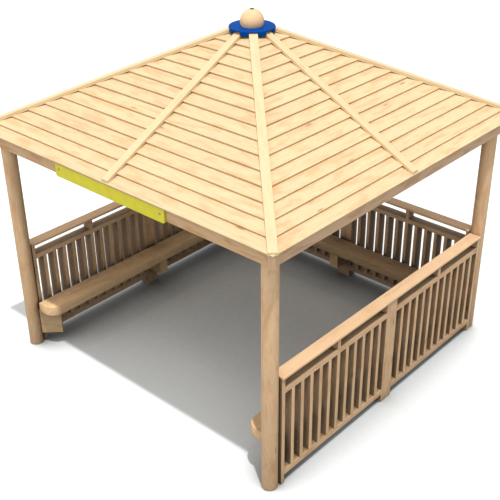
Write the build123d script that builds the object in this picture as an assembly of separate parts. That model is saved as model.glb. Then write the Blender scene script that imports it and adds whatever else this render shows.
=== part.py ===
from build123d import *
import os
from math import cos, radians, sin, sqrt, tan

# Square garden shelter of round posts, slatted fences, benches and a boarded pyramid roof.
# Millimetres. The origin is on the ground under the roof tip, +Z is up, and the open
# entrance side faces -Y.

# Posts
post_spacing = 3000.0  # between post centres, both ways
post_diameter = 130.0

# Beams under the eaves
beam_bottom = 2112.0
beam_height = 120.0  # at the outer face
beam_thickness = 45.0
beam_stand_off = 72.0  # outer face of the beams beyond the posts
block_width = 60.0
block_drop = 27.0  # below the beams

# Roof slopes: overlapping boards on one pitch
roof_pitch = 27.5  # degrees
course_count = 15
course_run = 102.3  # from one board edge to the next, measured level
eave_overhang = 40.0  # upper edge of the lowest board beyond the beams
roof_thickness = 24.0
board_step = 17.0

# Rafters under the slopes
rafter_width = 45.0
rafter_depth = 120.0

# Cover boards on the hips and down the middle of each slope
cover_width = 72.0
cover_thickness = 20.0
hip_cover_crown = 11.0  # thickness over the hip, where the board is grooved
hip_cover_setback = 22.0  # from the eave corner, measured level along the hip
slope_cover_setback = 6.0  # from the eave edge

# Roof tip, cut level for the cap and the finial
tip_drop = 49.0  # below the point where the slopes would meet
cap_radius = 195.0
cap_thickness = 6.0
cap_skirt = 32.0
cap_bevel = 3.0
notch_clearance = 2.0  # each side of a cover board
ball_radius = 100.0
ball_rise = 39.0  # centre of the ball above its base
plug_radius = 19.0
plug_thickness = 5.0
plug_seat_radius = 24.0

# Fences
fence_depth = 100.0
picket_width = 36.0
picket_count = 11  # in each bay
mid_post_width = 145.0
bottom_rail_clearance = 84.0
bottom_rail_height = 52.0
upper_rail_bottom = 896.0
upper_rail_height = 46.0
handrail_top = 1057.0
handrail_thickness = 22.0
handrail_width = 117.0
handrail_overhang = 10.0  # beyond the outer face of the fence

# Benches
seat_top = 465.0
seat_thickness = 95.0
seat_width = 200.0
seat_fence_gap = 48.0
seat_end_gap = 25.0  # from the centre line of the entrance posts
seat_end_radius = 118.0
bearer_width = 100.0
bearer_height = 185.0
bearer_setback = 53.0  # behind the inner edge of the seat
corner_board_length = 200.0
corner_board_height = 265.0
corner_board_thickness = 40.0

# Sign board
sign_length = 1250.0
sign_height = 115.0
sign_thickness = 18.0
sign_drop = 13.0  # below the beam
sign_corner_radius = 18.0

# Worked out from the sizes above
post_radius = post_diameter / 2
post_line = post_spacing / 2
post_diagonal = post_line * sqrt(2)
beam_outer = post_line + post_radius + beam_stand_off
beam_inner = beam_outer - beam_thickness
pitch_tan = tan(radians(roof_pitch))
pitch_sin = sin(radians(roof_pitch))
pitch_cos = cos(radians(roof_pitch))
eave_edge = beam_outer + eave_overhang
soffit_apex = beam_bottom + beam_height + beam_outer * pitch_tan
roof_apex = soffit_apex + roof_thickness / pitch_cos
tip_level = roof_apex - tip_drop
fence_outer = post_line + post_radius
fence_inner = fence_outer - fence_depth
handrail_bottom = handrail_top - handrail_thickness
handrail_outer = fence_outer + handrail_overhang
fence_end = post_line - post_radius
bay_end = fence_end - picket_width
seat_outer = fence_inner - seat_fence_gap
seat_inner = seat_outer - seat_width
seat_bottom = seat_top - seat_thickness
far = 2 * eave_edge  # longer than anything in plan

sides = {"right": 0, "back": 90, "left": 180, "front": 270}
corners = {"back_right": 0, "back_left": 90, "front_left": 180, "front_right": 270}


def block(x_range, y_range, z_range):
    """Box between two values along each axis."""
    size = [high - low for low, high in (x_range, y_range, z_range)]
    middle = [(high + low) / 2 for low, high in (x_range, y_range, z_range)]
    return Pos(*middle) * Box(*size)


def round_bar(radius, height):
    """Upright cylinder that stands on its own origin."""
    return Cylinder(radius, height, align=(Align.CENTER, Align.CENTER, Align.MIN))


def turned(shape, angle):
    return Rot(0, 0, angle) * shape


def upright_profile(points, half_length):
    """Outline in the XZ plane, made solid both ways along Y."""
    return extrude(Plane.XZ * make_face(Polyline(*points, close=True)), half_length, both=True)


def level_profile(points, bottom, height):
    return Pos(0, 0, bottom) * extrude(make_face(Polyline(*points, close=True)), height)


def under_roof(level_at_centre, bottom):
    """Pyramid below four planes at the roof pitch, down to a level."""
    reach = (level_at_centre - bottom) / pitch_tan
    base = Pos(0, 0, bottom) * Rectangle(2 * reach, 2 * reach)
    return extrude(base, level_at_centre - bottom, taper=90 - roof_pitch)


def roof_slope():
    """Right slope: a flat soffit, and a stepped top with one step for each board."""
    def top_point(run, drop=0.0):
        level = roof_apex - run * pitch_tan
        return (run - drop * pitch_sin, level - drop * pitch_cos)

    points = [(0, soffit_apex), top_point(eave_edge, roof_thickness), top_point(eave_edge)]
    for course in range(1, course_count):
        edge = eave_edge - course * course_run
        points += [top_point(edge, board_step), top_point(edge)]
    points.append((0, roof_apex - board_step / pitch_cos))
    slope = upright_profile(points, far)
    wedge = level_profile([(0, 0), (far, -far), (far, far)], beam_bottom, tip_level - beam_bottom)
    return slope & wedge


def slope_cover():
    """Board down the middle of the right slope, on the edges of the boards."""
    end = eave_edge - slope_cover_setback
    rise = cover_thickness / pitch_cos
    points = [(0, roof_apex), (end, roof_apex - end * pitch_tan),
              (end, roof_apex + rise - end * pitch_tan), (0, roof_apex + rise)]
    board = upright_profile(points, cover_width / 2)
    return board & block((0, far), (-cover_width, cover_width), (0, tip_level))


def hip_cover():
    """Board along the back right hip, grooved underneath to lie on both slopes."""
    fall = pitch_tan / sqrt(2)
    end = eave_edge * sqrt(2) - hip_cover_setback
    rise = hip_cover_crown * sqrt(1 + fall ** 2)
    skirt = cover_width / 2 * fall
    points = [(0, roof_apex - skirt), (end, roof_apex - skirt - end * fall),
              (end, roof_apex + rise - end * fall), (0, roof_apex + rise)]
    board = upright_profile(points, cover_width / 2)
    board &= block((0, far), (-cover_width, cover_width), (0, tip_level))
    return turned(board, 45) - under_roof(roof_apex, 0)


def rafter_bar(length, fall):
    """Rafter along X below the soffit, before its ends and its top are cut."""
    depth = rafter_depth * sqrt(1 + fall ** 2)
    points = [(0, soffit_apex - depth), (length, soffit_apex - depth - length * fall),
              (length, soffit_apex), (0, soffit_apex)]
    return upright_profile(points, rafter_width / 2)


def hip_rafter():
    """Rafter from the tip to the corner block, seated level on the post."""
    fall = pitch_tan / sqrt(2)
    end = post_diagonal + post_radius
    point = level_profile([(0, 0), (far, -far), (far, far)], 0, tip_level)
    bar = rafter_bar(end, fall) & point
    bar -= block((0, far), (-far, far), (0, post_top()))
    return turned(bar, 45) & under_roof(soffit_apex, 0)


def post_top():
    """Level where the hip rafter clears the inner side of the post."""
    fall = pitch_tan / sqrt(2)
    inner_side = post_diagonal - post_radius
    return soffit_apex - rafter_depth * sqrt(1 + fall ** 2) - inner_side * fall


def mid_rafter():
    """Rafter from the hip rafters to the middle of the right beam."""
    hip_side = rafter_width / sqrt(2)
    nose = level_profile([(hip_side, 0), (hip_side + far, -far), (hip_side + far, far)], 0, tip_level)
    return rafter_bar(beam_inner, pitch_tan) & nose & under_roof(soffit_apex, 0)


def eave_beam():
    """Right beam, bevelled to the soffit and cut at 45 degrees against the corner blocks."""
    beam = block((beam_inner, beam_outer), (-beam_outer, beam_outer), (beam_bottom, soffit_apex))
    for angle in (-45, 45):
        beam -= turned(block((0, far), (-block_width / 2, block_width / 2), (0, soffit_apex)), angle)
    keep = level_profile([(0, 0), (far, -far), (far, far)], 0, soffit_apex)
    return beam & keep & under_roof(soffit_apex, 0)


def corner_block():
    """Block between the back right post and the beam ends."""
    face = beam_outer * sqrt(2) - block_width / 2
    body = block((post_diagonal + post_radius, face), (-block_width / 2, block_width / 2),
                 (beam_bottom - block_drop, soffit_apex))
    return turned(body, 45) & under_roof(soffit_apex, 0)


def post():
    return Pos(post_line, post_line) * round_bar(post_radius, post_top())


def roof_cap():
    """Level plate with a skirt that is notched over each of the eight cover boards."""
    top = tip_level + cap_thickness
    skirt_bottom = tip_level - cap_skirt
    cap = Pos(0, 0, skirt_bottom) * round_bar(cap_radius, top - skirt_bottom)
    cap = chamfer(cap.edges().group_by(Axis.Z)[-1], cap_bevel)
    cap -= Pos(0, 0, skirt_bottom) * round_bar(cap_radius - cap_thickness, cap_skirt)
    half_notch = cover_width / 2 + notch_clearance
    for index in range(8):
        notch = block((0, far), (-half_notch, half_notch), (skirt_bottom, tip_level))
        cap -= turned(notch, 45 * index)
    return cap


def finial_ball():
    base = tip_level + cap_thickness
    top = base + ball_rise + sqrt(ball_radius ** 2 - plug_seat_radius ** 2)
    ball = Pos(0, 0, base + ball_rise) * Sphere(ball_radius)
    return ball & block((-far, far), (-far, far), (base, top))


def finial_plug():
    seat = tip_level + cap_thickness + ball_rise + sqrt(ball_radius ** 2 - plug_seat_radius ** 2)
    return Pos(0, 0, seat) * round_bar(plug_radius, plug_thickness)


def fence_panel():
    """Right fence, back bay: rails and pickets flush on both faces, end stud to the ground."""
    faces = (fence_inner, fence_outer)
    bay_start = mid_post_width / 2
    upper_rail_top = upper_rail_bottom + upper_rail_height
    bottom_rail_top = bottom_rail_clearance + bottom_rail_height
    panel = block(faces, (bay_end, fence_end), (0, handrail_bottom))
    panel += block(faces, (bay_start, bay_end), (bottom_rail_clearance, bottom_rail_top))
    panel += block(faces, (bay_start, bay_end), (upper_rail_bottom, upper_rail_top))
    gap = (bay_end - bay_start - picket_count * picket_width) / (picket_count + 1)
    for index in range(picket_count):
        start = bay_start + gap + index * (picket_width + gap)
        tall = index == picket_count // 2
        top = handrail_bottom if tall else upper_rail_bottom
        panel += block(faces, (start, start + picket_width), (bottom_rail_top, top))
    return panel


def fence_mid_post():
    half = mid_post_width / 2
    return block((fence_inner, fence_outer), (-half, half), (0, handrail_bottom))


def handrail():
    return block((handrail_outer - handrail_width, handrail_outer), (-fence_end, fence_end),
                 (handrail_bottom, handrail_top))


def bench_seat(open_start, open_end):
    """Right seat: mitred at a closed corner, and its inner corner rounded at an open end."""
    end = post_line - seat_end_gap
    start_inner, start_outer = (-end, -end) if open_start else (-seat_inner, -seat_outer)
    end_inner, end_outer = (end, end) if open_end else (seat_inner, seat_outer)
    outline = [(seat_inner, start_inner), (seat_outer, start_outer),
               (seat_outer, end_outer), (seat_inner, end_inner)]
    seat = level_profile(outline, seat_bottom, seat_thickness)
    inner_corners = seat.edges().filter_by(Axis.Z).group_by(Axis.X)[0].sort_by(Axis.Y)
    if open_start:
        seat = fillet(inner_corners[0], seat_end_radius)
    if open_end:
        seat = fillet(inner_corners[-1], seat_end_radius)
    return seat


def bench_bearer():
    half = bearer_width / 2
    return block((seat_inner + bearer_setback, fence_inner), (-half, half),
                 (seat_bottom - bearer_height, seat_bottom))


def bench_corner_board():
    """Board on edge, from the back right post towards the middle."""
    end = post_diagonal - post_radius
    half = corner_board_thickness / 2
    board = block((end - corner_board_length, end), (-half, half),
                  (seat_bottom - corner_board_height, seat_bottom))
    return turned(board, 45)


def sign_board():
    plate = block((-sign_length / 2, sign_length / 2), (-beam_outer - sign_thickness, -beam_outer),
                  (beam_bottom - sign_drop, beam_bottom - sign_drop + sign_height))
    return fillet(plate.edges().filter_by(Axis.Y), sign_corner_radius)


def mirrored(shape):
    return mirror(shape, about=Plane.XZ)


def build():
    """Every named piece, as a list of the solids it has."""
    parts = {}
    for name, angle in corners.items():
        parts["post_" + name] = [turned(post(), angle)]
        parts["hip_cover_" + name] = [turned(hip_cover(), angle)]
    for name, angle in sides.items():
        parts["eave_beam_" + name] = [turned(eave_beam(), angle)]
        parts["roof_slope_" + name] = [turned(roof_slope(), angle)]
        parts["slope_cover_" + name] = [turned(slope_cover(), angle)]
    quarter_turns = list(corners.values())
    parts["corner_blocks"] = [turned(corner_block(), angle) for angle in quarter_turns]
    parts["hip_rafters"] = [turned(hip_rafter(), angle) for angle in quarter_turns]
    parts["mid_rafters"] = [turned(mid_rafter(), angle) for angle in quarter_turns]
    parts["roof_cap"] = [roof_cap()]
    parts["finial_ball"] = [finial_ball()]
    parts["finial_plug"] = [finial_plug()]

    far_bay = {"right": "back", "back": "left", "left": "front"}
    near_bay = {"right": "front", "back": "right", "left": "back"}
    for name in ("right", "back", "left"):
        angle = sides[name]
        parts["fence_" + name + "_" + far_bay[name]] = [turned(fence_panel(), angle)]
        parts["fence_" + name + "_" + near_bay[name]] = [turned(mirrored(fence_panel()), angle)]
        parts["fence_post_" + name] = [turned(fence_mid_post(), angle)]
        parts["handrail_" + name] = [turned(handrail(), angle)]
        seat = bench_seat(open_start=name == "right", open_end=name == "left")
        parts["bench_seat_" + name] = [turned(seat, angle)]
    parts["bench_bearers"] = [turned(bench_bearer(), sides[name]) for name in ("right", "back", "left")]
    parts["bench_corner_boards"] = [turned(bench_corner_board(), angle) for angle in quarter_turns]
    parts["sign_board"] = [sign_board()]
    return parts


os.makedirs("parts", exist_ok=True)
for name, solids in build().items():
    pieces = [solid for shape in solids for solid in shape.solids()]
    shape = pieces[0] if len(pieces) == 1 else Compound(children=pieces)
    export_step(shape, "parts/" + name + ".step")
    print(name, len(pieces), round(sum(piece.volume for piece in pieces) / 1e6, 2), "litres")
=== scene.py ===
import math
import random

import bmesh
import bpy
from mathutils import Matrix, Vector


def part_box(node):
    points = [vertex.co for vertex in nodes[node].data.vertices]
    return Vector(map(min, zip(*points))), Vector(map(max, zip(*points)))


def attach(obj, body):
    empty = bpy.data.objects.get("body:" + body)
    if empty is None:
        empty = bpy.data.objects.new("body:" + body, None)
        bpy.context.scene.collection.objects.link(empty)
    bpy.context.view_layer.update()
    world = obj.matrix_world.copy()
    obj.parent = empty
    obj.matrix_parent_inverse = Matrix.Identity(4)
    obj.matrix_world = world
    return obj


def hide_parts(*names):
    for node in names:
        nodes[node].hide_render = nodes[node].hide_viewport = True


# Square garden shelter: round posts, slatted fences, benches and a boarded pyramid roof.
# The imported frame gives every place; this script gives the timber its boards, edges and grain.

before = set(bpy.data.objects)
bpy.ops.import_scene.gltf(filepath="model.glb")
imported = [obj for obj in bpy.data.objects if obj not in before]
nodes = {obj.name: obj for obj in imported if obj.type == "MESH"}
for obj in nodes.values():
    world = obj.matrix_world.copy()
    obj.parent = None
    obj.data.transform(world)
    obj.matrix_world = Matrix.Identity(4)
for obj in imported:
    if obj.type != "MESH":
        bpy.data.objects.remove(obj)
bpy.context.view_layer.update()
print("frame:", len(nodes), "nodes")

sides = {"right": 0, "back": 90, "left": 180, "front": 270}
corners = ("back_right", "back_left", "front_left", "front_right")


# Nodes and colours

def linearColour(hexCode):  # sRGB hex to the linear value that a shader takes
    channels = [int(hexCode[i:i + 2], 16) / 255 for i in (1, 3, 5)]
    return [c / 12.92 if c <= 0.04045 else ((c + 0.055) / 1.055) ** 2.4 for c in channels] + [1.0]


def addNode(tree, kind, settings=None, sockets=None):  # a socket takes a value, an output or a node
    node = tree.nodes.new(kind)
    for key, value in (settings or {}).items():
        setattr(node, key, value)
    for key, value in (sockets or {}).items():
        if isinstance(value, bpy.types.Node):
            value = value.outputs[0]
        if isinstance(value, bpy.types.NodeSocket):
            tree.links.new(value, node.inputs[key])
        else:
            node.inputs[key].default_value = value
    return node


def newMaterial(name):
    material = bpy.data.materials.new(name)
    material.use_nodes = True
    tree = material.node_tree
    tree.nodes.clear()
    return material, tree


# Timber: the grain attribute of a piece holds its places, in metres, in the log it was sawn from,
# X along the grain, with the heart of the tree at Y = Z = 0; tone is one value for each board.
# Streaks, patches, rings and knots are drawn coarser than real, to show at the size of a whole shelter

timberLook = {
    "streakLength": 0.55, "streakWidth": 0.011,
    "streakRange": (0.46, 0.72), "streakShare": 0.45,
    "patchLength": 0.24, "patchWidth": 0.055, "patchRange": (0.44, 0.70),
    "ringSpacing": 0.0075, "ringWobble": 0.040, "ringRange": (0.35, 0.95), "ringShare": 0.28,
    "knotLength": 0.42, "knotPitch": 0.085, "knotSize": 0.105, "knotEdge": (0.45, 1.5),
    "knotShare": 0.72, "knotShade": 0.75,
    # painted shade: the colour darkens by openness, over the roof and fences round a place and again in the gaps
    # between near neighbours
    "bump": 0.0006, "gloss": 0.35, "paintedShadeDeepest": 0.18,
    "paintedShadeReach": 3.4, "paintedShadeRange": (0.14, 0.44),  # the roof and fences round a place
    "gapShadeReach": 0.15, "gapShadeRange": (0.42, 0.92),  # its nearest neighbours
}

noiseRange = (0.3, 0.7)  # where nearly all of a noise lies


def ranged(tree, value, fromRange, toRange, kind="SMOOTHSTEP"):
    return addNode(tree, "ShaderNodeMapRange", {"interpolation_type": kind}, {
        "Value": value, "From Min": fromRange[0], "From Max": fromRange[1],
        "To Min": toRange[0], "To Max": toRange[1]})


def opennessOf(tree, reach, samples):
    return addNode(tree, "ShaderNodeAmbientOcclusion", {"samples": samples}, {"Distance": reach}).outputs["AO"]


# painted shade: the inside and the gaps are darker, by how little of the surroundings is open round each place
def paintShade(tree, colour, paintedShadeDeepest=timberLook["paintedShadeDeepest"], gapShadeDeepest=1.0):
    look = timberLook
    level = ranged(tree, opennessOf(tree, look["paintedShadeReach"], 6), look["paintedShadeRange"], (paintedShadeDeepest, 1.0))
    # painted shade in the gaps: a second, shorter openness darkens the colour once more between near neighbours
    if gapShadeDeepest < 1:
        paintedGapShade = ranged(tree, opennessOf(tree, look["gapShadeReach"], 4), look["gapShadeRange"], (gapShadeDeepest, 1.0))
        level = addNode(tree, "ShaderNodeMath", {"operation": "MULTIPLY"}, {0: level, 1: paintedGapShade})
    return addNode(tree, "ShaderNodeVectorMath", {"operation": "SCALE"}, {0: colour, "Scale": level})


def timber(name, pale, warm, dark, patch=1.0, streak=1.0, knot=1.0, toneRange=0.12, roughness=0.62,
           paintedShadeDeepest=timberLook["paintedShadeDeepest"], gapShadeDeepest=1.0):
    material, tree = newMaterial(name)
    look = timberLook
    grain = addNode(tree, "ShaderNodeAttribute", {"attribute_name": "grain"}).outputs["Vector"]
    tone = addNode(tree, "ShaderNodeAttribute", {"attribute_name": "tone"}).outputs["Fac"]

    patchPlace = addNode(tree, "ShaderNodeVectorMath", {"operation": "MULTIPLY"}, {
        0: grain, 1: (1 / look["patchLength"], 1 / look["patchWidth"], 1 / look["patchWidth"])})
    patches = addNode(tree, "ShaderNodeTexNoise", None, {
        "Vector": patchPlace, "Scale": 1.0, "Detail": 2.0, "Roughness": 0.55})
    patchMask = ranged(tree, patches, look["patchRange"], (0.0, patch))

    streakPlace = addNode(tree, "ShaderNodeVectorMath", {"operation": "MULTIPLY"}, {
        0: grain, 1: (1 / look["streakLength"], 1 / look["streakWidth"], 1 / look["streakWidth"])})
    streaks = addNode(tree, "ShaderNodeTexNoise", None, {
        "Vector": streakPlace, "Scale": 1.0, "Detail": 4.0, "Roughness": 0.6})
    streakMask = ranged(tree, streaks, look["streakRange"], (0.0, look["streakShare"] * streak))

    # rings round the heart of the tree, pushed about by slow noise, so a flat face shows long arches
    wobble = addNode(tree, "ShaderNodeTexNoise", None, {"Vector": patchPlace, "Scale": 0.8, "Detail": 1.0})
    apart = addNode(tree, "ShaderNodeSeparateXYZ", None, {"Vector": grain})
    crossPlace = addNode(tree, "ShaderNodeCombineXYZ", None, {"Y": apart.outputs["Y"], "Z": apart.outputs["Z"]})
    fromHeart = addNode(tree, "ShaderNodeVectorMath", {"operation": "LENGTH"}, {0: crossPlace}).outputs["Value"]
    pushed = addNode(tree, "ShaderNodeMath", {"operation": "MULTIPLY_ADD"}, {
        0: wobble, 1: look["ringWobble"], 2: fromHeart})
    ringCount = addNode(tree, "ShaderNodeMath", {"operation": "DIVIDE"}, {0: pushed, 1: look["ringSpacing"]})
    ringPart = addNode(tree, "ShaderNodeMath", {"operation": "FRACT"}, {0: ringCount})
    lateWood = ranged(tree, ringPart, look["ringRange"], (0.0, look["ringShare"] * streak), "SMOOTHERSTEP")

    knotPlace = addNode(tree, "ShaderNodeVectorMath", {"operation": "MULTIPLY"}, {
        0: grain, 1: (1 / look["knotLength"], 1 / look["knotPitch"], 1 / look["knotPitch"])})
    knots = addNode(tree, "ShaderNodeTexVoronoi", None, {"Vector": knotPlace, "Scale": 1.0, "Randomness": 1.0})
    knotRange = [look["knotSize"] * part for part in look["knotEdge"]]
    knotSpot = ranged(tree, knots.outputs["Distance"], knotRange, (1.0, 0.0))
    knotDraw = addNode(tree, "ShaderNodeSeparateColor", None, {"Color": knots.outputs["Color"]})
    knotChosen = addNode(tree, "ShaderNodeMath", {"operation": "GREATER_THAN"}, {
        0: knotDraw.outputs["Red"], 1: look["knotShare"]})
    knotMask = addNode(tree, "ShaderNodeMath", {"operation": "MULTIPLY"}, {0: knotSpot, 1: knotChosen})
    knotMask = addNode(tree, "ShaderNodeMath", {"operation": "MULTIPLY"}, {0: knotMask, 1: look["knotShade"] * knot})

    shade = linearColour(pale)
    for mask, colour in ((patchMask, warm), (streakMask, warm), (lateWood, warm), (knotMask, dark)):
        shade = addNode(tree, "ShaderNodeMix", {"data_type": "RGBA"}, {
            0: mask, 6: shade, 7: linearColour(colour)}).outputs[2]
    toned = ranged(tree, tone, (0.0, 1.0), (1 - toneRange, 1 + toneRange / 4), "LINEAR")
    shade = addNode(tree, "ShaderNodeVectorMath", {"operation": "SCALE"}, {0: shade, "Scale": toned})
    # painted shade darkens the colour where openness is low
    if paintedShadeDeepest < 1:
        shade = paintShade(tree, shade, paintedShadeDeepest, gapShadeDeepest)

    height = addNode(tree, "ShaderNodeMath", {"operation": "ADD"}, {0: streaks, 1: lateWood})
    bump = addNode(tree, "ShaderNodeBump", None, {"Height": height, "Strength": 0.5, "Distance": look["bump"]})
    dull = ranged(tree, streaks, noiseRange, (roughness - 0.06, roughness + 0.08), "LINEAR")
    shader = addNode(tree, "ShaderNodeBsdfPrincipled", None, {
        "Base Color": shade, "Roughness": dull, "Normal": bump, "Specular IOR Level": look["gloss"]})
    addNode(tree, "ShaderNodeOutputMaterial", None, {"Surface": shader})
    return material


# planed larch, fresh: pale cream with soft warm patches
roofTimber = timber("planed_larch_boards", "#E7CEA3", "#E0B98A", "#A47C50", patch=1.0, toneRange=0.10, paintedShadeDeepest=0.5)
coverTimber = timber("planed_larch_cover_boards", "#E8CFA4", "#E2C094", "#B08A60",
                     patch=0.6, toneRange=0.03, paintedShadeDeepest=0.5)
# glued and turned pine posts: even, a little pink
postTimber = timber("turned_pine_posts", "#F6D0A4", "#E6B484", "#9A6A42", patch=0.8, toneRange=0.04)
# planed pine: pinkish tan, streaked along the grain, with brown knots
beamTimber = timber("planed_pine_beams", "#F2CEA8", "#DDB088", "#8A5C38", toneRange=0.06)
# painted shade: a darker and warmer copy of the beam timber, for the beam over the entrance with the sign on it
frontBeamShadeTimber = timber("planed_pine_front_beam_painted_shade", "#E8C194", "#D2A274", "#8A5C38", toneRange=0.06)
# the fence carries deep painted shade in the gaps between its pickets
fenceTimber = timber("planed_pine_fence", "#F3CCA2", "#D8AC7E", "#80563A", patch=0.8, toneRange=0.12, gapShadeDeepest=0.52)
# handrails: clearer wood, smooth and even from many hands
railTimber = timber("planed_pine_handrails", "#F6CFA4", "#E8BC8C", "#A87850", patch=0.6, knot=0.4, toneRange=0.05)
# benches: deeper painted shade inside the shelter, and painted shade in their gaps
benchTimber = timber("planed_pine_benches", "#F8D2A2", "#E2B888", "#80583A",
                     patch=0.8, toneRange=0.34, paintedShadeDeepest=0.3, gapShadeDeepest=0.8)
# turned beech: smooth, fine in the grain, without knots
ballTimber = timber("turned_beech_ball", "#F4CFA0", "#E8B888", "#B88458", patch=0.5, knot=0.0, paintedShadeDeepest=1.0)


# plastic: one even colour with a fine moulded skin, slightly rubbed
def moulded(name, colour, roughness, pebble=0.0002, grit=0.004, gloss=0.5):
    material, tree = newMaterial(name)
    place = addNode(tree, "ShaderNodeTexCoord").outputs["Object"]
    skin = addNode(tree, "ShaderNodeTexNoise", None, {"Vector": place, "Scale": 1 / grit, "Detail": 2.0})
    wear = addNode(tree, "ShaderNodeTexNoise", None, {"Vector": place, "Scale": 14.0, "Detail": 3.0})
    shade = ranged(tree, wear, noiseRange, (0.94, 1.03), "LINEAR")
    tint = addNode(tree, "ShaderNodeVectorMath", {"operation": "SCALE"}, {
        0: linearColour(colour)[:3], "Scale": shade})
    # painted shade: the colour darkens where the surroundings are closed round a place
    tint = paintShade(tree, tint)
    dull = ranged(tree, wear, noiseRange, (roughness - 0.05, roughness + 0.06), "LINEAR")
    bump = addNode(tree, "ShaderNodeBump", None, {"Height": skin, "Strength": 0.4, "Distance": pebble})
    shader = addNode(tree, "ShaderNodeBsdfPrincipled", None, {
        "Base Color": tint, "Roughness": dull, "Normal": bump, "Specular IOR Level": gloss})
    addNode(tree, "ShaderNodeOutputMaterial", None, {"Surface": shader})
    return material


capPlastic = moulded("moulded_polyethylene_cap", "#054596", 0.5, gloss=0.02)
plugPlastic = moulded("moulded_polyethylene_plug", "#2F3322", 0.5)
signSkin = moulded("textured_polyethylene_sign_skin", "#F5EA4C", 0.55, gloss=0.15)
signCore = moulded("polyethylene_sign_core", "#23241F", 0.5)


def brushedSteel(name):  # stainless screws: bright, with fine turned scratches
    material, tree = newMaterial(name)
    place = addNode(tree, "ShaderNodeTexCoord").outputs["Object"]
    scratch = addNode(tree, "ShaderNodeTexNoise", None, {"Vector": place, "Scale": 900.0, "Detail": 2.0})
    dull = ranged(tree, scratch, noiseRange, (0.28, 0.45), "LINEAR")
    shader = addNode(tree, "ShaderNodeBsdfPrincipled", None, {
        "Base Color": linearColour("#B9B6AE"), "Metallic": 1.0, "Roughness": dull})
    addNode(tree, "ShaderNodeOutputMaterial", None, {"Surface": shader})
    return material


screwSteel = brushedSteel("stainless_steel_screws")
print("materials:", len(bpy.data.materials))


# Making pieces

def link(name, mesh, materials, smoothAngle=None):
    mesh.materials.clear()
    for material in materials:
        mesh.materials.append(material)
    if smoothAngle:
        for face in mesh.polygons:
            face.use_smooth = True
        mesh.set_sharp_from_angle(angle=math.radians(smoothAngle))
    piece = bpy.data.objects.new(name, mesh)
    bpy.context.scene.collection.objects.link(piece)
    return piece


def finishPiece(piece, replaced):
    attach(piece, "root")
    if replaced:
        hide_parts(*replaced)
    return piece


def turned(vector, angle):
    return Matrix.Rotation(math.radians(angle), 3, "Z") @ Vector(vector)


def islandsOf(bm):  # in the order of their first faces, so that each run draws alike
    left, found = set(bm.faces), []
    for first in bm.faces:
        if first not in left:
            continue
        left.remove(first)
        todo, island = [first], []
        while todo:
            face = todo.pop()
            island.append(face)
            for edge in face.edges:
                for other in edge.link_faces:
                    if other in left:
                        left.remove(other)
                        todo.append(other)
        found.append(island)
    return found


# draw is a seeded random.Random, heart the range of places of the tree's heart outside the board
def setGrain(bm, faces, origin, along, across, draw, heart=(0.05, 0.11), ownTone=None):
    grainLayer = bm.loops.layers.float_vector.get("grain") or bm.loops.layers.float_vector.new("grain")
    toneLayer = bm.loops.layers.float.get("tone") or bm.loops.layers.float.new("tone")
    along = Vector(along).normalized()
    across = Vector(across).normalized()
    depth = along.cross(across)
    away = draw.uniform(*heart)
    bearing = draw.uniform(0, 2 * math.pi)
    shift = Vector((draw.uniform(0, 30), away * math.cos(bearing), away * math.sin(bearing)))
    tone = draw.random() if ownTone is None else ownTone
    for face in faces:
        for loop in face.loops:
            place = loop.vert.co - origin
            loop[grainLayer] = Vector((place.dot(along), place.dot(across), place.dot(depth))) + shift
            loop[toneLayer] = tone


def cadCopy(nodeName):  # a merged copy of a node's loose triangles, with its flat faces whole
    bm = bmesh.new()
    bm.from_mesh(nodes[nodeName].data)
    bmesh.ops.remove_doubles(bm, verts=bm.verts, dist=1e-5)
    bmesh.ops.dissolve_limit(bm, angle_limit=math.radians(0.5), verts=bm.verts, edges=bm.edges)
    return bm


def easeEdges(bm, width, sharper=30):  # planed timber has its arrises taken off
    edges = [e for e in bm.edges if len(e.link_faces) == 2 and e.calc_face_angle(0) > math.radians(sharper)]
    bmesh.ops.bevel(bm, geom=edges, offset=width, segments=2, profile=0.6, affect="EDGES", clamp_overlap=True)


def toMesh(bm, name):
    mesh = bpy.data.meshes.new(name)
    bm.to_mesh(mesh)
    bm.free()
    return mesh


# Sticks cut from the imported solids: each solid of a node is one stick with its own grain

slopeFall = 0.5206  # the tangent of the roof's pitch
hipFall = 0.736  # steeper than the hip itself, so that its grain runs out across the rings

sticks = {
    "eave_beam": {
        "along": (0, 1, 0), "across": (0, 0, 1), "ease": 0.004, "material": beamTimber, "slot": "beam_wood"},
    "corner_blocks": {
        "along": (0, 0, 1), "across": (1, -1, 0), "ease": 0.004, "material": beamTimber, "slot": "beam_wood"},
    "hip_rafters": {  # left sharp: they meet in mitres at the tip, under the cap
        "along": (1, 1, -hipFall), "across": (1, -1, 0), "ease": 0, "material": beamTimber, "slot": "beam_wood"},
    "mid_rafters": {
        "along": (1, 0, -slopeFall), "across": (0, 1, 0), "ease": 0.003, "material": beamTimber, "slot": "beam_wood"},
    "slope_cover": {
        "along": (1, 0, -slopeFall), "across": (0, 1, 0), "ease": 0.004,
        "material": coverTimber, "slot": "roof_boards"},
    "hip_cover": {
        "along": (1, 1, -hipFall), "across": (1, -1, 0), "ease": 0.004,
        "material": coverTimber, "slot": "roof_boards"},
    "fence_post": {
        "along": (0, 0, 1), "across": (0, 1, 0), "ease": 0.004, "material": fenceTimber, "slot": "fence_wood"},
    "handrail": {
        "along": (0, 1, 0), "across": (1, 0, 0), "ease": 0.005, "material": railTimber, "slot": "fence_wood"},
    "bench_seat": {
        "along": (0, 1, 0), "across": (1, 0, 0), "ease": 0.006, "material": benchTimber, "slot": "bench_wood"},
    "bench_bearers": {
        "along": (1, 0, 0), "across": (0, 1, 0), "ease": 0.004, "material": benchTimber, "slot": "bench_wood"},
    "bench_corner_boards": {
        "along": (1, 1, 0), "across": (0, 0, 1), "ease": 0.004, "material": benchTimber, "slot": "bench_wood"},
}


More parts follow.
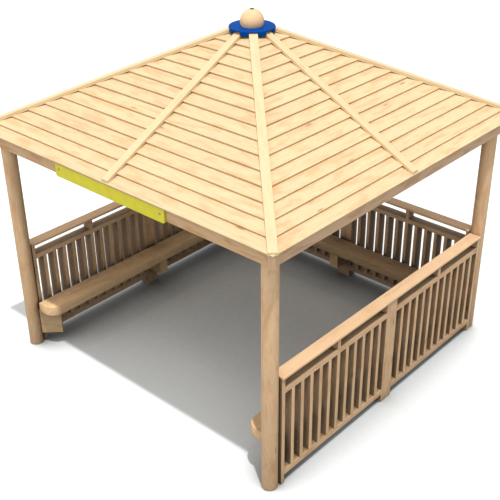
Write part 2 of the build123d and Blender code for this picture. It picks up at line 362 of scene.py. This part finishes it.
# painted light and shade: each seat has its own tone, the left one lighter as it stands in the light of the entrance,
# the back one darker as it stands in the shade
seatShadeTones = {"bench_seat_left": 1.0, "bench_seat_back": 0.05, "bench_seat_right": 0.6}
ownTimbers = {"eave_beam_front": frontBeamShadeTimber}


def quarterTurn(middle, atCorner):  # the quarter turn that brings the right side or back right corner to this stick
    bearing = math.degrees(math.atan2(middle.y, middle.x)) - (45 if atCorner else 0)
    return 90 * round(bearing / 90)


# the covers are let this far into the stepped boards, which leaves small openings at the steps
coverScribe = 0.008


def makeStick(nodeName, stick, draw):
    bm = cadCopy(nodeName)
    if "cover" in nodeName:
        undersides = {v for face in bm.faces if face.normal.z < -0.7 for v in face.verts}
        for v in undersides:
            v.co.z -= coverScribe
    if stick["ease"]:
        easeEdges(bm, stick["ease"])
    atCorner = "corner" in nodeName or "hip" in nodeName
    for faces in islandsOf(bm):
        places = [v.co for face in faces for v in face.verts]
        middle = sum(places, Vector()) / len(places)
        angle = quarterTurn(middle, atCorner)
        setGrain(bm, faces, middle, turned(stick["along"], angle), turned(stick["across"], angle), draw,
                 ownTone=seatShadeTones.get(nodeName))
    material = ownTimbers.get(nodeName, stick["material"])
    smoothAngle = 30 if "seat" in nodeName else None
    piece = link(nodeName + "_timber", toMesh(bm, nodeName), [material], smoothAngle)
    return finishPiece(piece, [nodeName])


stickDraw = random.Random(41)
for kind, stick in sticks.items():
    for nodeName in sorted(n for n in nodes if n.startswith(kind)):
        makeStick(nodeName, stick, stickDraw)
print("sticks done")


# Posts: turned round, with the foot slightly rounded

postSizes = {"radius": 0.065, "footRound": 0.008, "segments": 72, "heart": (0.006, 0.02)}


def makePost(name, draw):
    nodeName = "post_" + name
    low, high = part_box(nodeName)
    centre = (low + high) / 2
    radius, foot = postSizes["radius"], postSizes["footRound"]
    profile = [(radius - foot, 0), (radius - foot * 0.3, foot * 0.3), (radius, foot), (radius, high.z)]
    bm = bmesh.new()
    rings = []
    for reach, level in profile:
        ring = []
        for index in range(postSizes["segments"]):
            bearing = 2 * math.pi * index / postSizes["segments"]
            place = (centre.x + reach * math.cos(bearing), centre.y + reach * math.sin(bearing), level)
            ring.append(bm.verts.new(place))
        rings.append(ring)
    for lower, upper in zip(rings, rings[1:]):
        for index in range(len(lower)):
            follow = (index + 1) % len(lower)
            bm.faces.new((lower[index], lower[follow], upper[follow], upper[index]))
    bm.faces.new(list(reversed(rings[0])))
    bm.faces.new(rings[-1])
    setGrain(bm, bm.faces, Vector((centre.x, centre.y, 0)), (0, 0, 1), (1, 0, 0), draw, postSizes["heart"])
    piece = link(nodeName + "_timber", toMesh(bm, nodeName), [postTimber], 40)
    return finishPiece(piece, [nodeName])


postDraw = random.Random(7)
for name in corners:
    makePost(name, postDraw)
print("posts done")


# Geometry trees

def newTree(name, inputs):
    tree = bpy.data.node_groups.new(name, "GeometryNodeTree")
    tree.interface.new_socket(name="Geometry", in_out="INPUT", socket_type="NodeSocketGeometry")
    tree.interface.new_socket(name="Geometry", in_out="OUTPUT", socket_type="NodeSocketGeometry")
    for label, kind in inputs.items():
        tree.interface.new_socket(name=label, in_out="INPUT", socket_type="NodeSocket" + kind)
    return tree, addNode(tree, "NodeGroupInput").outputs


def runTree(name, mesh, tree, values, ease=0.0):  # the tree's result as a plain mesh, with eased edges
    holder = link(name, mesh, [])
    modifier = holder.modifiers.new("shape", "NODES")
    modifier.node_group = tree
    for item in tree.interface.items_tree:
        if item.in_out == "INPUT" and item.name in values:
            modifier[item.identifier] = values[item.name]
    if ease:
        bevel = holder.modifiers.new("arris", "BEVEL")
        bevel.width, bevel.segments, bevel.limit_method = ease, 2, "ANGLE"
        bevel.angle_limit = math.radians(30)
    result = bpy.data.meshes.new_from_object(holder.evaluated_get(bpy.context.evaluated_depsgraph_get()))
    holder.modifiers.clear()
    bpy.data.objects.remove(holder)
    return result


# Roof boards: one board profile repeated up a slope, drawn out to the hip, so every end is mitred

roofSizes = {
    "eaveEdge": 1.677, "pitch": 27.5, "courses": 16, "run": 0.1023, "thickness": 0.024, "step": 0.017,
    "apex": 3.11122, "tipDrop": 0.049, "ease": 0.0015,
}


def boardTree():
    tree, given = newTree("roof_boards", {
        "Courses": "Int", "Step": "Vector", "Pitch": "Float", "Tip Level": "Float", "Side": "Float",
        "Turn": "Float", "Seed": "Int", "Tone Low": "Float", "Tone High": "Float", "Material": "Material"})
    line = addNode(tree, "GeometryNodeMeshLine", None, {"Count": given["Courses"], "Offset": given["Step"]})
    drawn = addNode(tree, "GeometryNodeExtrudeMesh", {"mode": "FACES"}, {
        "Mesh": given["Geometry"], "Individual": False, "Offset": (0.0, 1.0, 0.0)})
    starts = addNode(tree, "GeometryNodeFlipFaces", None, {0: given["Geometry"]})
    closed = addNode(tree, "GeometryNodeJoinGeometry")
    tree.links.new(drawn.outputs[0], closed.inputs[0])
    tree.links.new(starts.outputs[0], closed.inputs[0])
    board = addNode(tree, "GeometryNodeMergeByDistance", None, {0: closed, "Distance": 1e-6})
    laid = addNode(tree, "GeometryNodeInstanceOnPoints", None, {"Points": line, "Instance": board})
    repeated = addNode(tree, "GeometryNodeRealizeInstances", None, {0: laid})

    place = addNode(tree, "ShaderNodeSeparateXYZ", None, {0: addNode(tree, "GeometryNodeInputPosition")})
    toHip = addNode(tree, "ShaderNodeMath", {"operation": "MULTIPLY"}, {0: place.outputs["X"], 1: place.outputs["Y"]})
    toSide = addNode(tree, "ShaderNodeMath", {"operation": "MULTIPLY"}, {0: toHip, 1: given["Side"]})
    belowTip = addNode(tree, "ShaderNodeMath", {"operation": "MINIMUM"}, {
        0: place.outputs["Z"], 1: given["Tip Level"]})
    mitred = addNode(tree, "ShaderNodeCombineXYZ", None, {0: place.outputs["X"], 1: toSide, 2: belowTip})
    shaped = addNode(tree, "GeometryNodeSetPosition", None, {0: repeated, "Position": mitred})

    # grain runs along the eave: X of the attribute is Y here, and the slope is laid level
    island = addNode(tree, "GeometryNodeInputMeshIsland").outputs["Island Index"]
    level = addNode(tree, "ShaderNodeVectorRotate", {"rotation_type": "Y_AXIS"}, {
        "Vector": addNode(tree, "GeometryNodeInputPosition"), "Angle": given["Pitch"]})
    levelParts = addNode(tree, "ShaderNodeSeparateXYZ", None, {0: level})
    swapped = addNode(tree, "ShaderNodeCombineXYZ", None, {
        0: levelParts.outputs["Y"], 1: levelParts.outputs["X"], 2: levelParts.outputs["Z"]})
    boardShift = addNode(tree, "FunctionNodeRandomValue", {"data_type": "FLOAT_VECTOR"}, {
        0: (0.0, -0.05, 0.05), 1: (30.0, 0.05, 0.12), "ID": island, "Seed": given["Seed"]})
    grain = addNode(tree, "ShaderNodeVectorMath", {"operation": "ADD"}, {0: swapped, 1: boardShift})
    grained = addNode(tree, "GeometryNodeStoreNamedAttribute", {"data_type": "FLOAT_VECTOR", "domain": "CORNER"}, {
        0: shaped, "Name": "grain", "Value": grain})
    toneSeed = addNode(tree, "ShaderNodeMath", {"operation": "ADD"}, {0: given["Seed"], 1: 5.0})
    boardTone = addNode(tree, "FunctionNodeRandomValue", {"data_type": "FLOAT"}, {
        2: given["Tone Low"], 3: given["Tone High"], "ID": island, "Seed": toneSeed})
    toned = addNode(tree, "GeometryNodeStoreNamedAttribute", {"data_type": "FLOAT", "domain": "CORNER"}, {
        0: grained, "Name": "tone", "Value": boardTone.outputs[1]})
    facing = addNode(tree, "ShaderNodeCombineXYZ", None, {2: given["Turn"]})
    placed = addNode(tree, "GeometryNodeTransform", None, {"Geometry": toned, "Rotation": facing})
    plain = addNode(tree, "GeometryNodeRealizeInstances", None, {0: placed})
    painted = addNode(tree, "GeometryNodeSetMaterial", None, {0: plain, "Material": given["Material"]})
    addNode(tree, "NodeGroupOutput", None, {0: painted})
    return tree


def boardProfile(name):  # the lowest board's section in XZ, its step at the upper end
    size = roofSizes
    pitch = math.radians(size["pitch"])
    low, up = size["eaveEdge"], size["eaveEdge"] - size["run"]

    def section(run, drop):
        return (run - drop * math.sin(pitch), 0.0, size["apex"] - run * math.tan(pitch) - drop * math.cos(pitch))

    mesh = bpy.data.meshes.new(name)
    places = [(low, 0), (low, size["thickness"]), (up, size["thickness"]), (up, size["step"])]
    mesh.from_pydata([section(run, drop) for run, drop in places], [], [(0, 1, 2, 3)])
    return mesh


def joinMeshes(meshes, name):
    bm = bmesh.new()
    for mesh in meshes:
        bm.from_mesh(mesh)
    return toMesh(bm, name)


# painted light and shade: each side of the roof has its own range of board tones, the right side lightest and the
# front darkest, after how the light falls on it
slopeShadeTones = {"right": (0.6, 1.0), "back": (0.3, 0.8), "left": (0.3, 0.8), "front": (0.0, 0.5)}


def makeSlope(name, angle, tree, seed):
    size = roofSizes
    pitch = math.radians(size["pitch"])
    halves = []
    for side in (1.0, -1.0):
        half = runTree("slope_half", boardProfile("board_profile"), tree, {
            "Courses": size["courses"], "Step": (-size["run"], 0.0, size["run"] * math.tan(pitch)), "Pitch": -pitch,
            "Tip Level": size["apex"] - size["tipDrop"], "Side": side, "Turn": math.radians(angle),
            "Tone Low": slopeShadeTones[name][0], "Tone High": slopeShadeTones[name][1],
            "Seed": seed + int(side), "Material": roofTimber}, size["ease"])
        if side < 0:
            half.flip_normals()
        halves.append(half)
    piece = link("roof_slope_" + name + "_boards", joinMeshes(halves, name), [roofTimber])
    return finishPiece(piece, ["roof_slope_" + name])


boards = boardTree()
for seed, (name, angle) in enumerate(sides.items()):
    makeSlope(name, angle, boards, 20 + 3 * seed)
print("roof boards done")


# Fences: a bay is its stud, two rails and a row of pickets, all flush

fenceSizes = {
    "outer": 1.565, "inner": 1.465, "bayStart": 0.0725, "bayEnd": 1.399, "studEnd": 1.435,
    "picketWidth": 0.036, "pickets": 11, "tallPicket": 5,
    "bottomRail": (0.084, 0.136), "upperRail": (0.896, 0.942), "top": 1.035, "ease": 0.0012,
}


def barTree():
    tree, given = newTree("fence_bars", {"Turn": "Float", "Seed": "Int", "Material": "Material"})
    # each point of the input carries its bar's size; a bar stands or lies by its longest side
    bar = addNode(tree, "GeometryNodeMeshCube", None, {"Size": (1.0, 1.0, 1.0)})
    size = addNode(tree, "GeometryNodeInputNamedAttribute", {"data_type": "FLOAT_VECTOR"}, {"Name": "size"})
    laid = addNode(tree, "GeometryNodeInstanceOnPoints", None, {
        "Points": given["Geometry"], "Instance": bar.outputs["Mesh"], "Scale": size.outputs["Attribute"]})
    solid = addNode(tree, "GeometryNodeRealizeInstances", None, {0: laid})
    island = addNode(tree, "GeometryNodeInputMeshIsland").outputs["Island Index"]
    shift = addNode(tree, "FunctionNodeRandomValue", {"data_type": "FLOAT_VECTOR"}, {
        0: (0.0, -0.07, 0.04), 1: (30.0, 0.07, 0.10), "ID": island, "Seed": given["Seed"]})
    place = addNode(tree, "ShaderNodeSeparateXYZ", None, {0: addNode(tree, "GeometryNodeInputPosition")})
    standing = addNode(tree, "ShaderNodeCombineXYZ", None, {
        0: place.outputs["Z"], 1: place.outputs["Y"], 2: place.outputs["X"]})
    lying = addNode(tree, "ShaderNodeCombineXYZ", None, {
        0: place.outputs["Y"], 1: place.outputs["Z"], 2: place.outputs["X"]})
    sizeParts = addNode(tree, "ShaderNodeSeparateXYZ", None, {0: addNode(
        tree, "GeometryNodeInputNamedAttribute", {"data_type": "FLOAT_VECTOR"}, {"Name": "size"})})
    upright = addNode(tree, "ShaderNodeMath", {"operation": "GREATER_THAN"}, {
        0: sizeParts.outputs["Z"], 1: sizeParts.outputs["Y"]})
    alongBar = addNode(tree, "ShaderNodeMix", {"data_type": "VECTOR"}, {0: upright, 4: lying, 5: standing}).outputs[1]
    grain = addNode(tree, "ShaderNodeVectorMath", {"operation": "ADD"}, {0: alongBar, 1: shift})
    grained = addNode(tree, "GeometryNodeStoreNamedAttribute", {"data_type": "FLOAT_VECTOR", "domain": "CORNER"}, {
        0: solid, "Name": "grain", "Value": grain})
    toneSeed = addNode(tree, "ShaderNodeMath", {"operation": "ADD"}, {0: given["Seed"], 1: 5.0})
    tone = addNode(tree, "FunctionNodeRandomValue", {"data_type": "FLOAT"}, {"ID": island, "Seed": toneSeed})
    toned = addNode(tree, "GeometryNodeStoreNamedAttribute", {"data_type": "FLOAT", "domain": "CORNER"}, {
        0: grained, "Name": "tone", "Value": tone.outputs[1]})
    facing = addNode(tree, "ShaderNodeCombineXYZ", None, {2: given["Turn"]})
    placed = addNode(tree, "GeometryNodeTransform", None, {"Geometry": toned, "Rotation": facing})
    plain = addNode(tree, "GeometryNodeRealizeInstances", None, {0: placed})
    painted = addNode(tree, "GeometryNodeSetMaterial", None, {0: plain, "Material": given["Material"]})
    addNode(tree, "NodeGroupOutput", None, {0: painted})
    return tree


def bayBars(side):  # (y range, z range) of every bar in one bay of the right fence
    size = fenceSizes
    start, end = size["bayStart"], size["bayEnd"]
    bars = [((end, size["studEnd"]), (0.0, size["top"])),
            ((start, end), size["bottomRail"]), ((start, end), size["upperRail"])]
    gap = (end - start - size["pickets"] * size["picketWidth"]) / (size["pickets"] + 1)
    for index in range(size["pickets"]):
        low = start + gap + index * (size["picketWidth"] + gap)
        bars.append(((low, low + size["picketWidth"]), (size["bottomRail"][1], size["upperRail"][0])))
        if index == size["tallPicket"]:
            bars.append(((low, low + size["picketWidth"]), (size["upperRail"][1], size["top"])))
    return [(sorted((side * y[0], side * y[1])), z) for y, z in bars]


def barPoints(name, bars, depthRange):
    middle = (depthRange[0] + depthRange[1]) / 2
    depth = depthRange[1] - depthRange[0]
    mesh = bpy.data.meshes.new(name)
    mesh.from_pydata([(middle, sum(y) / 2, sum(z) / 2) for y, z in bars], [], [])
    sizes = mesh.attributes.new("size", "FLOAT_VECTOR", "POINT")
    for item, (y, z) in zip(sizes.data, bars):
        item.vector = (depth, y[1] - y[0], z[1] - z[0])
    return mesh


def makeBay(nodeName, angle, side, tree, seed):
    size = fenceSizes
    points = barPoints(nodeName, bayBars(side), (size["inner"], size["outer"]))
    mesh = runTree("bay", points, tree, {
        "Turn": math.radians(angle), "Seed": seed, "Material": fenceTimber}, size["ease"])
    mesh.name = nodeName
    piece = link(nodeName + "_bars", mesh, [fenceTimber])
    return finishPiece(piece, [nodeName])


farBay = {"right": "back", "back": "left", "left": "front"}
nearBay = {"right": "front", "back": "right", "left": "back"}
bars = barTree()
for seed, name in enumerate(farBay):
    makeBay("fence_" + name + "_" + farBay[name], sides[name], 1, bars, 50 + 4 * seed)
    makeBay("fence_" + name + "_" + nearBay[name], sides[name], -1, bars, 52 + 4 * seed)
print("fences done")


# Roof tip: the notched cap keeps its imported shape, the ball and plug are turned smooth

capEase = 0.0015


def makeCap():
    bm = cadCopy("roof_cap")
    easeEdges(bm, capEase)
    return finishPiece(link("roof_cap_moulding", toMesh(bm, "cap"), [capPlastic], 35), ["roof_cap"])


def lathe(profile, segments):  # profile of (radius, level) from the bottom, closed on the axis at both ends
    bm = bmesh.new()
    rings = [[bm.verts.new((r * math.cos(2 * math.pi * i / segments), r * math.sin(2 * math.pi * i / segments), z))
              for i in range(segments)] for r, z in profile]
    for lower, upper in zip(rings, rings[1:]):
        for i in range(segments):
            k = (i + 1) % segments
            bm.faces.new((lower[i], lower[k], upper[k], upper[i]))
    bm.faces.new(list(reversed(rings[0])))
    bm.faces.new(rings[-1])
    return bm


ballSizes = {"radius": 0.100, "rise": 0.039, "seat": 0.024, "rings": 28, "segments": 64}


def makeBall():
    low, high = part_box("finial_ball")
    centre = low.z + ballSizes["rise"]
    start = math.asin(-ballSizes["rise"] / ballSizes["radius"])
    end = math.acos(ballSizes["seat"] / ballSizes["radius"])
    steps = [start + (end - start) * i / ballSizes["rings"] for i in range(ballSizes["rings"] + 1)]
    profile = [(ballSizes["radius"] * math.cos(a), centre + ballSizes["radius"] * math.sin(a)) for a in steps]
    bm = lathe(profile, ballSizes["segments"])
    setGrain(bm, bm.faces, Vector((0, 0, centre)), (0, 0, 1), (1, 0, 0), random.Random(3), (0.01, 0.03))
    return finishPiece(link("finial_ball_timber", toMesh(bm, "ball"), [ballTimber], 40), ["finial_ball"])


plugSizes = {"side": 0.0025, "shoulder": 0.0012, "rim": 0.004, "segments": 40}


def makePlug():
    size = plugSizes
    low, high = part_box("finial_plug")
    radius = (high.x - low.x) / 2
    profile = [(radius, low.z), (radius, low.z + size["side"]),
               (radius - size["shoulder"], high.z - size["shoulder"]), (radius - size["rim"], high.z)]
    piece = link("finial_plug_moulding", toMesh(lathe(profile, size["segments"]), "plug"), [plugPlastic], 40)
    return finishPiece(piece, ["finial_plug"])


makeCap()
makeBall()
makePlug()
print("roof tip done")


# Sign board: bare, two thin coloured skins on a dark core

signSizes = {
    "skin": 0.0035, "ease": 0.002, "screwAcross": 0.580, "screwLevel": 2.167,
    "headRadius": 0.0105, "headRise": 0.0030, "headEase": 0.0006,
}


def screwTree():  # a flat round head on each of the input's points, facing out from the board
    tree, given = newTree("sign_screws", {
        "Radius": "Float", "Rise": "Float", "Seed": "Int", "Material": "Material"})
    head = addNode(tree, "GeometryNodeMeshCylinder", {"fill_type": "NGON"}, {
        "Vertices": 24, "Side Segments": 1, "Radius": given["Radius"], "Depth": given["Rise"]})
    spin = addNode(tree, "FunctionNodeRandomValue", {"data_type": "FLOAT_VECTOR"}, {
        0: (math.pi / 2, 0.0, 0.0), 1: (math.pi / 2, 3.0, 0.0), "Seed": given["Seed"]})
    laid = addNode(tree, "GeometryNodeInstanceOnPoints", None, {
        "Points": given["Geometry"], "Instance": head.outputs["Mesh"], "Rotation": spin})
    plain = addNode(tree, "GeometryNodeRealizeInstances", None, {0: laid})
    painted = addNode(tree, "GeometryNodeSetMaterial", None, {0: plain, "Material": given["Material"]})
    addNode(tree, "NodeGroupOutput", None, {0: painted})
    return tree


def makeScrews():
    size = signSizes
    low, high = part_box("sign_board")
    points = bpy.data.meshes.new("screw_points")
    face = low.y + size["headRise"] * 0.1
    points.from_pydata([(side * size["screwAcross"], face, size["screwLevel"]) for side in (-1, 1)], [], [])
    mesh = runTree("screws", points, screwTree(), {
        "Radius": size["headRadius"], "Rise": size["headRise"], "Seed": 5, "Material": screwSteel}, size["headEase"])
    return finishPiece(link("sign_screws", mesh, [screwSteel], 40), [])


def makeSign():
    bm = cadCopy("sign_board")
    low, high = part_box("sign_board")
    for cut in (low.y + signSizes["skin"], high.y - signSizes["skin"]):
        everything = list(bm.verts) + list(bm.edges) + list(bm.faces)
        bmesh.ops.bisect_plane(bm, geom=everything, plane_co=(0, cut, 0), plane_no=(0, 1, 0))
    easeEdges(bm, signSizes["ease"], 60)
    for face in bm.faces:
        middle = face.calc_center_median().y
        face.material_index = 1 if low.y + signSizes["skin"] < middle < high.y - signSizes["skin"] else 0
    piece = link("sign_board_bare", toMesh(bm, "sign"), [signSkin, signCore], 35)
    return finishPiece(piece, ["sign_board"])


makeSign()
makeScrews()
print("sign done")


# Floor, light and camera

# painted shade: openness darkens the floor's colour under the roof, and once more close to posts and fences
floorLook = {"radius": 60.0, "shown": 0.94, "bounce": 0.34, "reach": 3.1, "range": (0.1, 0.64), "deepest": 0.27,
             "nearReach": 0.4, "nearRange": (0.4, 0.85), "nearDeepest": 0.5, "redder": 0.965}


def makeFloor():  # pale to the camera, greyer to the light it throws back, so that the shadow stays neutral
    material, tree = newMaterial("pale_floor")
    seen = addNode(tree, "ShaderNodeLightPath").outputs["Is Camera Ray"]
    level = ranged(tree, seen, (0.0, 1.0), (floorLook["bounce"], floorLook["shown"]), "LINEAR")
    openness = opennessOf(tree, floorLook["reach"], 16)
    paintedRoofShade = ranged(tree, openness, floorLook["range"], (floorLook["deepest"], 1.0), "LINEAR")
    level = addNode(tree, "ShaderNodeMath", {"operation": "MULTIPLY"}, {0: level, 1: paintedRoofShade})
    nearby = opennessOf(tree, floorLook["nearReach"], 8)
    paintedContactShade = ranged(tree, nearby, floorLook["nearRange"], (floorLook["nearDeepest"], 1.0), "LINEAR")
    level = addNode(tree, "ShaderNodeMath", {"operation": "MULTIPLY"}, {0: level, 1: paintedContactShade})
    # a little less red, against the warm light that the timber throws back
    red = addNode(tree, "ShaderNodeMath", {"operation": "MULTIPLY"}, {0: level, 1: floorLook["redder"]})
    colour = addNode(tree, "ShaderNodeCombineColor", None, {"Red": red, "Green": level, "Blue": level})
    shader = addNode(tree, "ShaderNodeBsdfDiffuse", None, {"Color": colour})
    addNode(tree, "ShaderNodeOutputMaterial", None, {"Surface": shader})
    mesh = bpy.data.meshes.new("floor")
    half = floorLook["radius"]
    mesh.from_pydata([(-half, -half, 0), (half, -half, 0), (half, half, 0), (-half, half, 0)], [], [(0, 1, 2, 3)])
    floor = link("floor", mesh, [material])


lampLook = {"sunStrength": 2.25, "sunAngle": 1.3, "sunFrom": (0.236, -0.155, 1.0),
            "sky": 0.32, "fill": 0.70, "fillFrom": (-0.35, -0.88, 0.33)}


def makeLight():
    sun = bpy.data.lights.new("key", "SUN")
    sun.energy = lampLook["sunStrength"]
    sun.angle = math.radians(lampLook["sunAngle"])
    lamp = bpy.data.objects.new("key", sun)
    lamp.rotation_mode = "QUATERNION"
    lamp.rotation_quaternion = Vector(lampLook["sunFrom"]).to_track_quat("Z", "Y")
    bpy.context.scene.collection.objects.link(lamp)

    world = bpy.data.worlds.new("studio")
    bpy.context.scene.world = world
    world.use_nodes = True
    tree = world.node_tree
    tree.nodes.clear()
    paths = addNode(tree, "ShaderNodeLightPath")
    direct = addNode(tree, "ShaderNodeMath", {"operation": "MAXIMUM"}, {
        0: paths.outputs["Is Camera Ray"], 1: paths.outputs["Is Glossy Ray"]})
    shown = addNode(tree, "ShaderNodeMath", {"operation": "MAXIMUM"}, {
        0: direct, 1: paths.outputs["Is Transmission Ray"]})
    # a soft dome, brighter towards the entrance side
    fillFrom = Vector(lampLook["fillFrom"]).normalized()
    place = addNode(tree, "ShaderNodeTexCoord").outputs["Generated"]
    towards = addNode(tree, "ShaderNodeVectorMath", {"operation": "DOT_PRODUCT"}, {
        0: place, 1: fillFrom}).outputs["Value"]
    dome = ranged(tree, towards, (-1.0, 1.0), (lampLook["sky"], lampLook["sky"] + lampLook["fill"]))
    unlit = addNode(tree, "ShaderNodeMath", {"operation": "SUBTRACT"}, {0: 1.0, 1: shown})
    lit = addNode(tree, "ShaderNodeMath", {"operation": "MULTIPLY"}, {0: dome, 1: unlit})
    strength = addNode(tree, "ShaderNodeMath", {"operation": "ADD"}, {0: lit, 1: shown})
    background = addNode(tree, "ShaderNodeBackground", None, {"Color": (1.0, 1.0, 1.0, 1.0), "Strength": strength})
    addNode(tree, "ShaderNodeOutputWorld", None, {"Surface": background})


# fitted to the posts, eaves, beams and fences
cameraFit = {"place": (5.055, -5.619, 5.255), "azimuth": 41.118, "elevation": 30.083, "lens": 66.76,
             "shift": (-0.0316, 0.0112)}


def makeCamera():
    data = bpy.data.cameras.new("camera")
    data.sensor_width, data.lens = 36.0, cameraFit["lens"]
    data.shift_x, data.shift_y = cameraFit["shift"]
    data.clip_start, data.clip_end = 0.1, 300.0
    camera = bpy.data.objects.new("camera", data)
    azimuth, elevation = math.radians(cameraFit["azimuth"]), math.radians(cameraFit["elevation"])
    level = math.cos(elevation)
    back = Vector((math.sin(azimuth) * level, -math.cos(azimuth) * level, math.sin(elevation)))
    camera.location = cameraFit["place"]
    camera.rotation_mode = "QUATERNION"
    camera.rotation_quaternion = (-back).to_track_quat("-Z", "Y")
    bpy.context.scene.collection.objects.link(camera)
    bpy.context.scene.camera = camera


makeFloor()
makeLight()
makeCamera()
bpy.context.scene.view_settings.view_transform = "Standard"
print("stage done")
